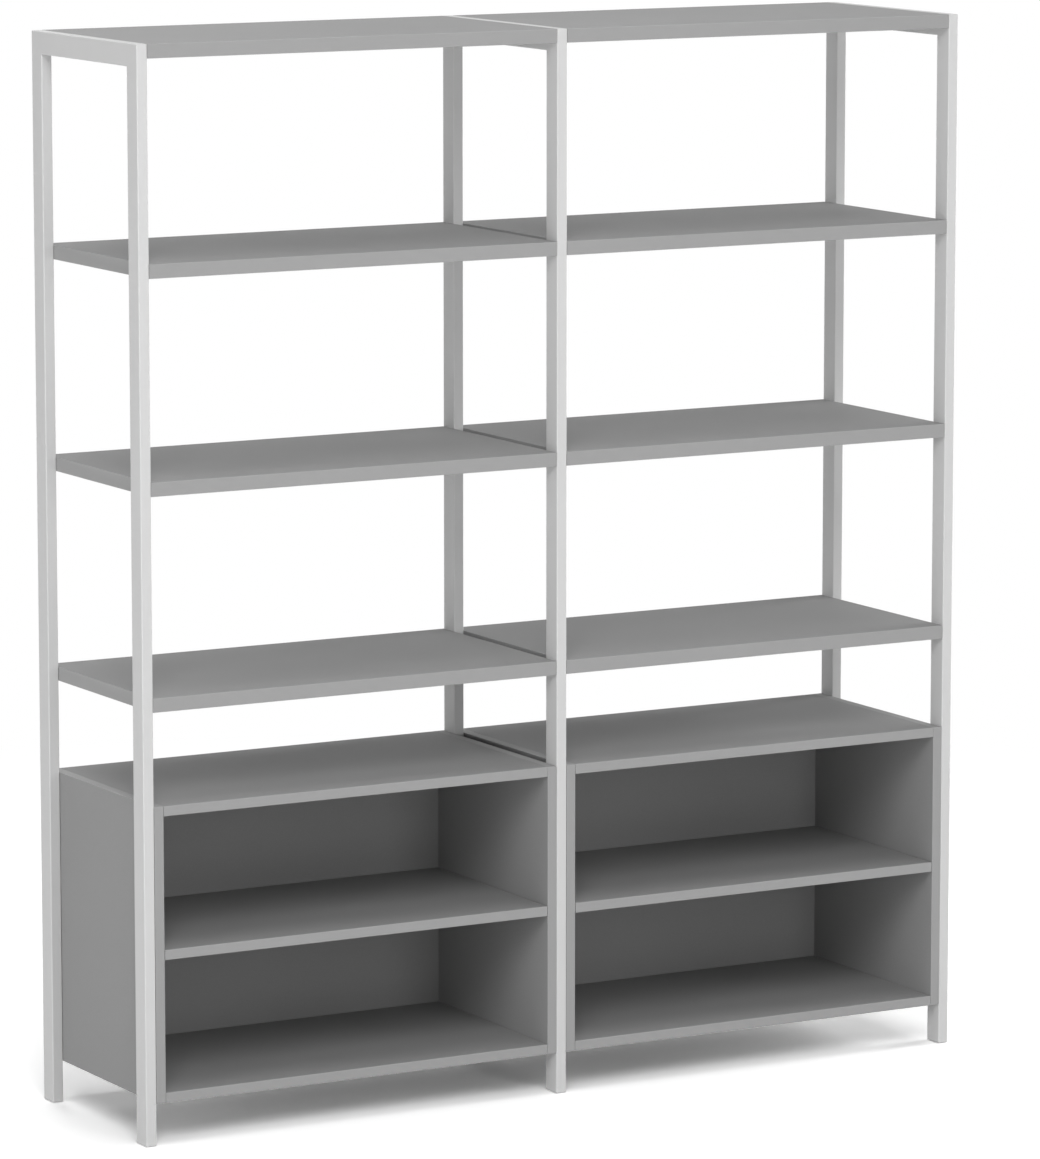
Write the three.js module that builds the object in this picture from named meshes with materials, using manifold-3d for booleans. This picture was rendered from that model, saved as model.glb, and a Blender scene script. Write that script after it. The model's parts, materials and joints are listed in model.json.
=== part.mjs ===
// Library shelving two bays wide: shelves hung between three welded tube frames, with an open fronted box
// at the foot of each bay. Millimetres, +Z up. The front faces -Y, and the origin is on the floor under
// the middle of the unit.

import * as THREE from 'three';
import { mergeVertices } from 'three/addons/utils/BufferGeometryUtils.js';
import Module from 'manifold-3d';

const wasm = await Module();
wasm.setup();

// Unit
const unitDepth = 420; // front to back, over posts, shelves and boxes alike
const bayClearWidth = 800; // between the frames of one bay
const shelfClearHeight = 350; // between one open shelf and the next
const slotClearHeight = 165; // between a box and the lowest open shelf
const boxHeight = 525;
const boxFloorClearance = 75; // floor to the underside of a box

// Steel tube of the frames
const tubeWidth = 20; // across the frame, along X
const tubeDepth = 40; // in the plane of the frame
const tubeWall = 1.5;
const tubeCornerRadius = 2;
const leastBoreRadius = 0.4; // inside corners of the tube, where the wall is thick
const tubeCornerSteps = 2; // each corner arc has twice as many facets

// Boards
const shelfThickness = 25;
const panelThickness = 18; // sides, top, bottom and inner shelf of a box
const backThickness = 10;
const backInset = 1; // back panel in from the rear edges of its box
const backLap = 9; // back panel let into the four boards round it
const boardEdgeRadius = 1;
const boardEdgeSteps = 1;

// Shoulder studs screwed into the boards, which hook into keyholes in the tubes
const studShankDiameter = 5;
const studHeadDiameter = 9;
const studHeadThickness = 2.5;
const studTipCover = 4; // board left past the tip of a stud's screw in a box side
const studSides = 8;
const keyholeSteps = 3; // each arc of a keyhole has twice as many facets
const railStudInset = 90; // studs of a top shelf in from its front and rear edges
const boxStudInset = 60; // studs of a box in from its top and underside

// Glued dowels between the sides of a box and its top and bottom
const dowelDiameter = 8;
const dowelLengthInPanel = 22;
const dowelTipCover = 7; // side left past the tip of a dowel
const dowelInset = 70; // end dowels in from the front and rear edges
const dowelCount = 3; // in each end of a panel
const dowelSides = 8;

// Pins under an inner shelf, flat on top
const pinDiameter = 5;
const pinTipCover = 8; // side left past the tip of a pin
const pinHeadDiameter = 9;
const pinHeadLength = 9;
const pinSeatRise = 3; // axis of the pin to its flat top
const pinInset = 50; // in from the front and rear edges of the inner shelf
const pinSides = 8;
const pinHeadSteps = 5;

// Levelling feet and the plugs that hold them in the lower ends of the posts
const plugLength = 25;
const plugFinDepth = 1.2;
const plugFinThickness = 3;
const plugFinCount = 3;
const plugCornerRadius = 1;
const plugCornerSteps = 1;
const footStudDiameter = 8;
const footStudLength = 32;
const footStudChamfer = 1;
const footPadThickness = 5;
const footPadChamfer = 1;
const footStandOut = 1; // pad below the end of the post when screwed fully in
const driverSlotWidth = 2;
const driverSlotDepth = 1.5;
const footSides = 12;

// Clearances
const fitGap = 0.3; // between pieces that seat on, pass through or lie against each other
const weldGap = 0.1; // root of the weld, along the rail
const innerShelfPlay = 1; // inner shelf to the sides and the back of its box
const cutOverrun = 1; // how far a cutter passes the face that it opens

// Sizes that follow
const bayPitch = bayClearWidth + tubeWidth;
const boardLength = bayClearWidth - 2 * fitGap;
const halfDepth = unitDepth / 2;
const postOffset = halfDepth - tubeDepth / 2;
const boreWidth = tubeWidth - 2 * tubeWall;
const boreDepth = tubeDepth - 2 * tubeWall;
const boreCornerRadius = Math.max(tubeCornerRadius - tubeWall, leastBoreRadius);

const shelfNames = ['lower', 'middle', 'upper', 'top'];
const topShelf = shelfNames.length - 1;
const boxTop = boxFloorClearance + boxHeight;
const shelfPitch = shelfClearHeight + shelfThickness;
const shelfUndersides = shelfNames.map((name, i) => boxTop + slotClearHeight + i * shelfPitch);
const frameHeight = shelfUndersides[topShelf] + shelfThickness;

const studThreadLength = panelThickness - studTipCover;
const slotRadius = studShankDiameter / 2 + fitGap;
const entryRadius = studHeadDiameter / 2 + fitGap;
const keyholeDrop = studHeadDiameter;
const keyholeHeight = slotRadius + keyholeDrop + entryRadius;
const shelfSeatHeight = (shelfThickness - keyholeHeight) / 2 + slotRadius; // the board end hides the keyhole
const railStudOffset = halfDepth - railStudInset;
const boxStudHeights = [boxStudInset, boxHeight - boxStudInset];

const panelLength = boardLength - 2 * panelThickness - 2 * fitGap;
const boxInnerHalf = boardLength / 2 - panelThickness;
const backFront = halfDepth - backInset - backThickness;
const dowelReach = panelThickness - dowelTipCover;
const dowelSpan = unitDepth - 2 * dowelInset;
const dowelPitch = dowelSpan / (dowelCount - 1);
const compartmentHeight = (boxHeight - 3 * panelThickness) / 2;
const innerShelfUnderside = panelThickness + compartmentHeight;
const innerShelfLength = 2 * (boxInnerHalf - innerShelfPlay);
const innerShelfDepth = backFront - innerShelfPlay + halfDepth;
const innerShelfMiddle = innerShelfDepth / 2 - halfDepth;
const pinReach = panelThickness - pinTipCover;
const pinHeight = innerShelfUnderside - fitGap - pinSeatRise;
const pinOffset = innerShelfDepth / 2 - pinInset;

const plugWidth = boreWidth - 2 * fitGap;
const plugDepth = boreDepth - 2 * fitGap;
const footPadDiameter = boreWidth - 2 * fitGap;
const plugUnderside = footPadThickness + fitGap;

// Finishes, each mesh with its own
const paintedSteel = () => new THREE.MeshStandardMaterial({ color: 0xcfcfcd, roughness: 0.5, metalness: 0.1 });
const greyBoard = () => new THREE.MeshStandardMaterial({ color: 0x9d9d9c, roughness: 0.62, metalness: 0 });
const platedSteel = () => new THREE.MeshStandardMaterial({ color: 0xb9bcbf, roughness: 0.35, metalness: 1 });
const blackNylon = () => new THREE.MeshStandardMaterial({ color: 0x2a2a2b, roughness: 0.6, metalness: 0 });

// A closed solid from a geometry: shared points merged and the empty triangles at a pole dropped
function toSolid(geometry) {
  const bare = geometry.clone();
  bare.deleteAttribute('normal');
  bare.deleteAttribute('uv');
  const merged = mergeVertices(bare);
  const corners = merged.index.array;
  const triangles = [];
  for (let i = 0; i < corners.length; i += 3) {
    const [a, b, c] = corners.slice(i, i + 3);
    if (a !== b && b !== c && c !== a) {
      triangles.push(a, b, c);
    }
  }
  const mesh = new wasm.Mesh({
    numProp: 3,
    vertProperties: new Float32Array(merged.attributes.position.array),
    triVerts: new Uint32Array(triangles),
  });
  return new wasm.Manifold(mesh);
}

function toGeometry(solid) {
  const mesh = solid.getMesh();
  const geometry = new THREE.BufferGeometry();
  geometry.setAttribute('position', new THREE.BufferAttribute(mesh.vertProperties, 3));
  geometry.setIndex(new THREE.BufferAttribute(mesh.triVerts, 1));
  geometry.computeVertexNormals();
  return geometry;
}

function addPiece(parent, name, solid, material) {
  const mesh = new THREE.Mesh(toGeometry(solid), material);
  mesh.name = name;
  parent.add(mesh);
  return mesh;
}

function roundedRectangle(width, height, radius) {
  const x = width / 2 - radius;
  const y = height / 2 - radius;
  const quarter = Math.PI / 2;
  const shape = new THREE.Shape();
  shape.absarc(x, y, radius, 0, quarter);
  shape.absarc(-x, y, radius, quarter, 2 * quarter);
  shape.absarc(-x, -y, radius, 2 * quarter, 3 * quarter);
  shape.absarc(x, -y, radius, 3 * quarter, 4 * quarter);
  return shape;
}

function extrude(shape, depth, curveSegments) {
  return new THREE.ExtrudeGeometry(shape, { depth, bevelEnabled: false, curveSegments });
}

// Turns an extrusion to run along X, with its shape's x along Y and its shape's y along Z
function alongX(geometry) {
  return geometry.rotateX(Math.PI / 2).rotateZ(Math.PI / 2);
}

// A turned piece from [radius, place along the axis] steps, with its axis along Y
function turned(steps, sides) {
  const profile = steps.map(([radius, place]) => new THREE.Vector2(radius, place));
  return new THREE.LatheGeometry(profile, sides);
}

function rod(radius, from, to, sides) {
  return turned([[0, from], [radius, from], [radius, to], [0, to]], sides);
}

// Points a turned piece along X, to the left for side -1 and to the right for side 1
function towards(side, geometry) {
  return geometry.rotateZ((-side * Math.PI) / 2);
}

function block(xSize, ySize, zSize) {
  return new THREE.BoxGeometry(xSize, ySize, zSize);
}

// Boards

// Lies along X, centred on the origin, with its long edges rounded
function lyingBoard(length, depth, thickness) {
  const section = roundedRectangle(depth, thickness, boardEdgeRadius);
  return toSolid(alongX(extrude(section, length, boardEdgeSteps)).translate(-length / 2, 0, 0));
}

// Stands on z = 0, centred on the Z axis, with its upright edges rounded
function standingBoard(height, depth, thickness) {
  const section = roundedRectangle(thickness, depth, boardEdgeRadius);
  return toSolid(extrude(section, height, boardEdgeSteps));
}

// Screw buried in the board from its face at the origin, then a shank as long as the tube wall, then a head
function shoulderStud(side) {
  const shank = studShankDiameter / 2;
  const head = studHeadDiameter / 2;
  const shoulder = tubeWall + 2 * fitGap;
  const top = shoulder + studHeadThickness;
  const steps = [[0, -studThreadLength], [shank, -studThreadLength], [shank, shoulder], [head, shoulder]];
  steps.push([head, top], [0, top]);
  return towards(side, turned(steps, studSides));
}

function openShelf(studOffset) {
  let board = lyingBoard(boardLength, unitDepth, shelfThickness);
  const studHeight = shelfSeatHeight - shelfThickness / 2;
  for (const side of [-1, 1]) {
    for (const y of [-studOffset, studOffset]) {
      const stud = shoulderStud(side).translate((side * boardLength) / 2, y, studHeight);
      board = board.add(toSolid(stud));
    }
  }
  return board;
}

// Tube frames

// A length of tube along +Z. A mitred end is made by sliding its points along the tube by their distance
// from the face at outward, which keeps the full length.
function tube(length, outward, mitreStart, mitreEnd, gap) {
  const section = roundedRectangle(tubeWidth, tubeDepth, tubeCornerRadius);
  section.holes.push(roundedRectangle(boreWidth, boreDepth, boreCornerRadius));
  const geometry = extrude(section, length, tubeCornerSteps);
  const points = geometry.attributes.position;
  for (let i = 0; i < points.count; i += 1) {
    const atStart = points.getZ(i) === 0;
    const setBack = tubeDepth / 2 - outward * points.getY(i) + gap;
    if (atStart && mitreStart) {
      points.setZ(i, setBack);
    }
    if (!atStart && mitreEnd) {
      points.setZ(i, length - setBack);
    }
  }
  return geometry;
}

// Cuts one wall of a tube: a slot that the shank rests in, under a round entry for the head
function keyholeCutter(side, y, seat) {
  const shape = new THREE.Shape();
  const entryAngle = Math.asin(slotRadius / entryRadius) - Math.PI / 2;
  shape.absarc(0, 0, slotRadius, Math.PI, 2 * Math.PI);
  shape.absarc(0, keyholeDrop, entryRadius, entryAngle, Math.PI - entryAngle);
  const length = tubeWall + 2 * fitGap;
  const cutter = alongX(extrude(shape, length, keyholeSteps)).translate(-length / 2, 0, 0);
  return toSolid(cutter.translate((side * (tubeWidth - tubeWall)) / 2, y, seat));
}

function post(outward, sides) {
  let solid = toSolid(tube(frameHeight - footStandOut, outward, false, true, 0).translate(0, 0, footStandOut));
  const shelfSeats = shelfUndersides.slice(0, topShelf).map((z) => z + shelfSeatHeight);
  const boxSeats = boxStudHeights.map((z) => boxFloorClearance + z);
  for (const side of sides) {
    for (const seat of [...boxSeats, ...shelfSeats]) {
      solid = solid.subtract(keyholeCutter(side, 0, seat));
    }
  }
  return solid;
}

function topRail(sides) {
  const length = tube(unitDepth, 1, true, true, weldGap).rotateX(Math.PI / 2);
  let solid = toSolid(length.translate(0, halfDepth, frameHeight - tubeDepth / 2));
  for (const side of sides) {
    for (const y of [-railStudOffset, railStudOffset]) {
      solid = solid.subtract(keyholeCutter(side, y, shelfUndersides[topShelf] + shelfSeatHeight));
    }
  }
  return solid;
}

// Fins that grip the bore of the tube, round a core with a hole for the foot's stud
function footPlug() {
  const coreShape = roundedRectangle(plugWidth - 2 * plugFinDepth, plugDepth - 2 * plugFinDepth, plugCornerRadius);
  const finShape = roundedRectangle(plugWidth, plugDepth, plugCornerRadius);
  const finPitch = (plugLength - plugFinThickness) / (plugFinCount - 1);
  let solid = toSolid(extrude(coreShape, plugLength, plugCornerSteps));
  for (let i = 0; i < plugFinCount; i += 1) {
    const fin = extrude(finShape, plugFinThickness, plugCornerSteps);
    solid = solid.add(toSolid(fin.translate(0, 0, i * finPitch)));
  }
  const holeRadius = footStudDiameter / 2 + fitGap;
  const hole = rod(holeRadius, -cutOverrun, plugLength + cutOverrun, footSides).rotateX(Math.PI / 2);
  return solid.subtract(toSolid(hole));
}

// A round pad and its stud, turned by a driver slot across the underside
function levellingFoot() {
  const pad = footPadDiameter / 2;
  const stud = footStudDiameter / 2;
  const top = footPadThickness + footStudLength;
  const steps = [[0, 0], [pad - footPadChamfer, 0], [pad, footPadChamfer], [pad, footPadThickness]];
  steps.push([stud, footPadThickness], [stud, top - footStudChamfer], [stud - footStudChamfer, top], [0, top]);
  const body = toSolid(turned(steps, footSides).rotateX(Math.PI / 2));
  const slotLength = footPadDiameter + 2 * cutOverrun;
  return body.subtract(toSolid(block(slotLength, driverSlotWidth, 2 * driverSlotDepth)));
}

function addFrame(unit, name, x, sides) {
  const frame = new THREE.Group();
  frame.position.x = x;
  unit.add(frame);
  const places = [['front', -1], ['rear', 1]];
  for (const [place, outward] of places) {
    const foot = `${name}_${place}`;
    const y = outward * postOffset;
    addPiece(frame, `${name}_frame_${place}_post`, post(outward, sides), paintedSteel()).position.y = y;
    addPiece(frame, `${foot}_foot_plug`, footPlug(), blackNylon()).position.set(0, y, plugUnderside);
    addPiece(frame, `${foot}_levelling_foot`, levellingFoot(), platedSteel()).position.y = y;
  }
  addPiece(frame, `${name}_frame_top_rail`, topRail(sides), paintedSteel());
}

// Boxes

// Opens the rear edges of the sides, top and bottom for the back panel, short of the corners of the box
function backRebate() {
  const width = 2 * (boxInnerHalf + backLap);
  const deep = halfDepth - backFront + fitGap + cutOverrun;
  const height = boxHeight - 2 * (panelThickness - backLap);
  return toSolid(block(width, deep, height).translate(0, halfDepth + cutOverrun - deep / 2, boxHeight / 2));
}

function dowelPlaces() {
  return Array.from({ length: dowelCount }, (_, i) => i * dowelPitch - dowelSpan / 2);
}

// Runs through one end of a panel's joint with a side, at the inner face of that side
function dowel(side, radius, reach) {
  return towards(side, rod(radius, -dowelLengthInPanel, reach, dowelSides));
}

function boxSide(side) {
  const middle = side * (boxInnerHalf + panelThickness / 2);
  let solid = standingBoard(boxHeight, unitDepth, panelThickness).translate([middle, 0, 0]);
  for (const y of [-postOffset, postOffset]) {
    for (const z of boxStudHeights) {
      solid = solid.add(toSolid(shoulderStud(side).translate((side * boardLength) / 2, y, z)));
    }
  }
  for (const y of dowelPlaces()) {
    for (const z of [panelThickness / 2, boxHeight - panelThickness / 2]) {
      const bore = dowel(side, dowelDiameter / 2 + fitGap, dowelReach + fitGap);
      solid = solid.subtract(toSolid(bore.translate(side * boxInnerHalf, y, z)));
    }
  }
  for (const y of [-pinOffset, pinOffset]) {
    const bore = towards(side, rod(pinDiameter / 2 + fitGap, -cutOverrun, pinReach + fitGap, pinSides));
    solid = solid.subtract(toSolid(bore.translate(side * boxInnerHalf, innerShelfMiddle + y, pinHeight)));
  }
  return solid.subtract(backRebate());
}

// A top or bottom panel with its middle at the given height
function boxPanel(z) {
  let solid = lyingBoard(panelLength, unitDepth, panelThickness).translate([0, 0, z]);
  for (const side of [-1, 1]) {
    for (const y of dowelPlaces()) {
      const peg = dowel(side, dowelDiameter / 2, dowelReach).translate(side * boxInnerHalf, y, z);
      solid = solid.add(toSolid(peg));
    }
  }
  return solid.subtract(backRebate());
}

function backPanel() {
  const width = 2 * (boxInnerHalf + backLap - fitGap);
  const height = boxHeight - 2 * (panelThickness - backLap + fitGap);
  return toSolid(block(width, backThickness, height));
}

// A shank for the side's bore, and a head with a flat top for the shelf to lie on
function shelfPin(side) {
  const shank = rod(pinDiameter / 2, -pinReach, fitGap + pinHeadLength / 2, pinSides);
  const headShape = new THREE.Shape();
  const flatAngle = Math.asin(pinSeatRise / (pinHeadDiameter / 2));
  headShape.absarc(0, 0, pinHeadDiameter / 2, Math.PI - flatAngle, 2 * Math.PI + flatAngle);
  const head = alongX(extrude(headShape, pinHeadLength, pinHeadSteps)).translate(-pinHeadLength / 2, 0, 0);
  const headMiddle = side * (fitGap + pinHeadLength / 2);
  return toSolid(towards(side, shank)).add(toSolid(head.translate(headMiddle, 0, 0)));
}

function addBox(bay, name) {
  const box = new THREE.Group();
  box.position.z = boxFloorClearance;
  bay.add(box);
  const hands = [['left', -1], ['right', 1]];
  for (const [hand, side] of hands) {
    addPiece(box, `${name}_box_${hand}_side`, boxSide(side), greyBoard());
    const places = [['front', -pinOffset], ['rear', pinOffset]];
    for (const [place, y] of places) {
      const pin = addPiece(box, `${name}_box_${hand}_${place}_pin`, shelfPin(-side), platedSteel());
      pin.position.set(side * boxInnerHalf, innerShelfMiddle + y, pinHeight);
    }
  }
  addPiece(box, `${name}_box_bottom_panel`, boxPanel(panelThickness / 2), greyBoard());
  addPiece(box, `${name}_box_top_panel`, boxPanel(boxHeight - panelThickness / 2), greyBoard());
  const back = addPiece(box, `${name}_box_back_panel`, backPanel(), greyBoard());
  back.position.set(0, backFront + backThickness / 2, boxHeight / 2);
  const innerShelf = lyingBoard(innerShelfLength, innerShelfDepth, panelThickness);
  const shelf = addPiece(box, `${name}_box_inner_shelf`, innerShelf, greyBoard());
  shelf.position.set(0, innerShelfMiddle, innerShelfUnderside + panelThickness / 2);
}

function addBay(unit, name, x) {
  const bay = new THREE.Group();
  bay.position.x = x;
  unit.add(bay);
  shelfNames.forEach((level, i) => {
    const studOffset = i === topShelf ? railStudOffset : postOffset;
    const shelf = addPiece(bay, `${name}_bay_${level}_shelf`, openShelf(studOffset), greyBoard());
    shelf.position.z = shelfUndersides[i] + shelfThickness / 2;
  });
  addBox(bay, name);
}

const unit = new THREE.Group();
addFrame(unit, 'left', -bayPitch, [1]);
addFrame(unit, 'middle', 0, [-1, 1]);
addFrame(unit, 'right', bayPitch, [-1]);
addBay(unit, 'left', -bayPitch / 2);
addBay(unit, 'right', bayPitch / 2);

export default unit;
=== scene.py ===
import json
import math

import bpy
import numpy as np
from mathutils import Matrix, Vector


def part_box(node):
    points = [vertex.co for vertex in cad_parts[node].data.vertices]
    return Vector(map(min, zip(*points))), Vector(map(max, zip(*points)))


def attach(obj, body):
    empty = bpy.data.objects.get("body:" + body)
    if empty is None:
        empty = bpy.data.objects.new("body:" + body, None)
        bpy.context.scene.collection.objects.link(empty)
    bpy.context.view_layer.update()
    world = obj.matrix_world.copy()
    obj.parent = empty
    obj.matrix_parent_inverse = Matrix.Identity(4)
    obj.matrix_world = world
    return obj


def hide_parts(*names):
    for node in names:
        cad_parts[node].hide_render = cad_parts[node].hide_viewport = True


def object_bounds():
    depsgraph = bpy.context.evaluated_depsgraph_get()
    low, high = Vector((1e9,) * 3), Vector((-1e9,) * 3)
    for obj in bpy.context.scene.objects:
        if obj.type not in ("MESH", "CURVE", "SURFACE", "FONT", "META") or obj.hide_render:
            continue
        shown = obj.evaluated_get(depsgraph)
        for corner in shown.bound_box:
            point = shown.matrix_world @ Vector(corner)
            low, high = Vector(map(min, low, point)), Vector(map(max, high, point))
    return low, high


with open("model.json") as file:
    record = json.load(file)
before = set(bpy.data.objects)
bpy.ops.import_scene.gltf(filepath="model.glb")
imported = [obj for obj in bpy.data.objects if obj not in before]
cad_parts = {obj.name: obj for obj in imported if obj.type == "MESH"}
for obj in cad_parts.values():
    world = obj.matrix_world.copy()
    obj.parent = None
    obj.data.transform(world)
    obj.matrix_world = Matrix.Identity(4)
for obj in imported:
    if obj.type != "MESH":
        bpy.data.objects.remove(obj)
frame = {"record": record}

cadLow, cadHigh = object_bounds()  # the solids' own box, before anything is dressed

bodyOf = {node: body for body, nodes in frame["record"]["behaviour"]["bodies"].items() for node in nodes}
frameNames = ("left", "middle", "right")
bayNames = ("left", "right")
levelNames = ("lower", "middle", "upper", "top")
endNames = ("front", "rear")

# Camera

viewpoint = {
    "place": (-5.475, -9.785, 2.631),  # metres from the middle of the unit's footprint
    "yaw": 29.374,  # degrees to the right of straight ahead
    "pitch": 8.734,  # degrees downwards
    "lens": 194.8,  # mm
    "sensor": 36.0,  # mm along the picture's long side
    "farthest": 200.0,  # metres that the camera sees
}


def placeCamera(values):
    data = bpy.data.cameras.new("shelvingCamera")
    data.lens = values["lens"]
    data.sensor_width = values["sensor"]
    data.clip_end = values["farthest"]
    camera = bpy.data.objects.new("shelvingCamera", data)
    pitch = math.radians(values["pitch"])
    camera.location = values["place"]
    camera.rotation_euler = (math.pi / 2 - pitch, 0.0, -math.radians(values["yaw"]))
    bpy.context.scene.collection.objects.link(camera)
    bpy.context.scene.camera = camera


placeCamera(viewpoint)
print("camera placed")

# Node helpers


def startNodes(tree):
    tree.nodes.clear()
    return tree.nodes, tree.links


def addNode(tree, kind, inputs):
    node = tree.nodes.new(kind)
    for socket, value in inputs.items():
        node.inputs[socket].default_value = value
    return node


def addMath(tree, operation, first, second):
    # a number or another node's output may stand on either side
    node = tree.nodes.new("ShaderNodeMath")
    node.operation = operation
    for socket, value in zip(node.inputs, (first, second)):
        if isinstance(value, (int, float)):
            socket.default_value = value
        else:
            tree.links.new(value, socket)
    return node.outputs["Value"]


def addNoise(tree, vector, scale, detail):
    node = addNode(tree, "ShaderNodeTexNoise", {"Detail": detail})
    tree.links.new(vector, node.inputs["Vector"])
    if isinstance(scale, (int, float)):
        node.inputs["Scale"].default_value = scale
    else:
        tree.links.new(scale, node.inputs["Scale"])
    return node.outputs["Fac"]


# Studio: a pale floor, an even white surround and broad soft lamps

studio = {
    "floorHalf": 80.0,  # metres from the middle to the floor's rim
    "floorRings": 6,
    "floorSides": 64,
    "floorShade": 0.92,  # what the floor gives back to the object
    "floorSeen": 1.31,  # what it shows the camera, so that it runs out to white
    "whiteFrom": 1.5,  # metres from the middle, where plain white starts to take over
    "whiteBy": 3.5,  # and where it has done so
    "surround": 0.13,  # level of the white surround
    "lamps": {
        "highLamp": {"place": (-3.0, -5.5, 5.5), "size": 4.0, "power": 275.0},
        "frontLamp": {"place": (0.3, -6.8, 1.6), "size": 3.2, "power": 92.0},
        "rightFrontLamp": {"place": (5.5, -5.0, 2.5), "size": 3.0, "power": 48.0},
        "leftFrontLamp": {"place": (-7.2, -2.8, 1.2), "size": 3.5, "power": 122.0},
        "leftLamp": {"place": (-7.5, -0.5, 0.8), "size": 3.0, "power": 92.0},
        "rightLamp": {"place": (7.5, 0.0, 2.5), "size": 4.0, "power": 380.0},
        "ceilingLamp": {"place": (0.0, -0.3, 6.5), "size": 6.0, "power": 150.0},
        "rearLamp": {"place": (0.5, 6.8, 2.8), "size": 3.0, "power": 156.0},
    },
    "aim": (0.0, 0.0, 0.9),
}


def floorSurface(half, rings, sides):
    # a disc: rings at even steps of the radius, points at even steps of the turn
    around = np.linspace(0.0, 2 * np.pi, sides, endpoint=False)
    radius = np.linspace(half / rings, half, rings)
    x = radius[:, None] * np.cos(around)
    y = radius[:, None] * np.sin(around)
    rim = np.stack([x, y, np.zeros_like(x)], axis=-1).reshape(-1, 3)
    verts = np.vstack([np.zeros((1, 3)), rim])
    spot = np.arange(sides)
    after = (spot + 1) % sides
    centre = np.stack([np.zeros_like(spot), 1 + spot, 1 + after], axis=1).tolist()
    inner = 1 + sides * np.arange(rings - 1)[:, None]
    outer = inner + sides
    quads = np.stack([inner + spot, outer + spot, outer + after, inner + after], axis=-1)
    return verts, centre + quads.reshape(-1, 4).tolist()


def seenDirectly(tree):
    # 1 for what the camera, a reflection or glass shows, 0 for light on its way to the object
    path = tree.nodes.new("ShaderNodeLightPath")
    shown = addMath(tree, "MAXIMUM", path.outputs["Is Camera Ray"], path.outputs["Is Glossy Ray"])
    return addMath(tree, "MAXIMUM", shown, path.outputs["Is Transmission Ray"])


def floorMaterial(values):
    material = bpy.data.materials.new("paleFloor")
    material.use_nodes = True
    tree = material.node_tree
    nodes, links = startNodes(tree)
    shown = seenDirectly(tree)
    tone = nodes.new("ShaderNodeMix")
    tone.data_type = "RGBA"
    tone.inputs["A"].default_value = (values["floorShade"],) * 3 + (1.0,)
    tone.inputs["B"].default_value = (values["floorSeen"],) * 3 + (1.0,)
    matt = nodes.new("ShaderNodeBsdfDiffuse")
    links.new(shown, tone.inputs["Factor"])
    links.new(tone.outputs["Result"], matt.inputs["Color"])

    away = nodes.new("ShaderNodeVectorMath")
    away.operation = "LENGTH"
    links.new(nodes.new("ShaderNodeTexCoord").outputs["Object"], away.inputs[0])
    ramp = nodes.new("ShaderNodeMapRange")
    ramp.interpolation_type = "SMOOTHSTEP"
    ramp.inputs["From Min"].default_value = values["whiteFrom"]
    ramp.inputs["From Max"].default_value = values["whiteBy"]
    links.new(away.outputs["Value"], ramp.inputs["Value"])
    plain = addNode(tree, "ShaderNodeEmission", {"Color": (1.0, 1.0, 1.0, 1.0), "Strength": 1.0})
    blend = nodes.new("ShaderNodeMixShader")
    out = nodes.new("ShaderNodeOutputMaterial")
    links.new(addMath(tree, "MULTIPLY", ramp.outputs["Result"], shown), blend.inputs["Fac"])
    links.new(matt.outputs["BSDF"], blend.inputs[1])
    links.new(plain.outputs["Emission"], blend.inputs[2])
    links.new(blend.outputs["Shader"], out.inputs["Surface"])
    return material


def makeSurround(level):
    world = bpy.data.worlds.new("whiteSurround")
    world.use_nodes = True
    tree = world.node_tree
    nodes, links = startNodes(tree)
    shown = seenDirectly(tree)
    strength = nodes.new("ShaderNodeMix")
    strength.inputs["A"].default_value = level
    strength.inputs["B"].default_value = 1.0
    light = addNode(tree, "ShaderNodeBackground", {"Color": (1.0, 1.0, 1.0, 1.0)})
    out = nodes.new("ShaderNodeOutputWorld")
    links.new(shown, strength.inputs["Factor"])
    links.new(strength.outputs["Result"], light.inputs["Strength"])
    links.new(light.outputs["Background"], out.inputs["Surface"])
    bpy.context.scene.world = world


def hangLamp(name, values, target):
    data = bpy.data.lights.new(name, "AREA")
    data.shape = "DISK"
    data.size = values["size"]
    data.energy = values["power"]
    lamp = bpy.data.objects.new(name, data)
    aim = np.array(target) - np.array(values["place"])
    flat = math.hypot(aim[0], aim[1])
    lamp.location = values["place"]
    lamp.rotation_euler = (math.atan2(flat, -aim[2]), 0.0, math.atan2(aim[1], aim[0]) - math.pi / 2)
    bpy.context.scene.collection.objects.link(lamp)


def makeStudio(values):
    verts, faces = floorSurface(values["floorHalf"], values["floorRings"], values["floorSides"])
    mesh = bpy.data.meshes.new("floor")
    mesh.from_pydata(verts.tolist(), [], faces)
    mesh.materials.append(floorMaterial(values))
    floor = bpy.data.objects.new("floor", mesh)
    bpy.context.scene.collection.objects.link(floor)
    makeSurround(values["surround"])
    for name, lamp in values["lamps"].items():
        hangLamp(name, lamp, values["aim"])


makeStudio(studio)
bpy.context.scene.view_settings.view_transform = "Standard"
print("studio lit")

# Effects that several finishes share

effectValues = {
    "swellDetail": 1.0,  # octaves of noise in each effect
    "grainDetail": 2.0,
    "driftDetail": 3.0,
    "fleckDetail": 2.0,
    "glossDetail": 4.0,
    "patchDetail": 3.0,
    "noiseMiddle": 0.5,  # the level that noise swings about
    "patchGain": 0.8,  # a patch of wear and painted highlight is this times its noise
    "patchLeast": 0.3,  # plus this
    "wornPolish": 0.12,  # roughness that a fully worn edge has lost
}


def startGroup(name, inputs, outputs):
    group = bpy.data.node_groups.new(name, "ShaderNodeTree")
    for socket, kind in inputs:
        group.interface.new_socket(socket, in_out="INPUT", socket_type="NodeSocket" + kind)
    for socket, kind in outputs:
        group.interface.new_socket(socket, in_out="OUTPUT", socket_type="NodeSocket" + kind)
    entry = group.nodes.new("NodeGroupInput")
    leave = group.nodes.new("NodeGroupOutput")
    return group, entry.outputs, leave.inputs


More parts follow.
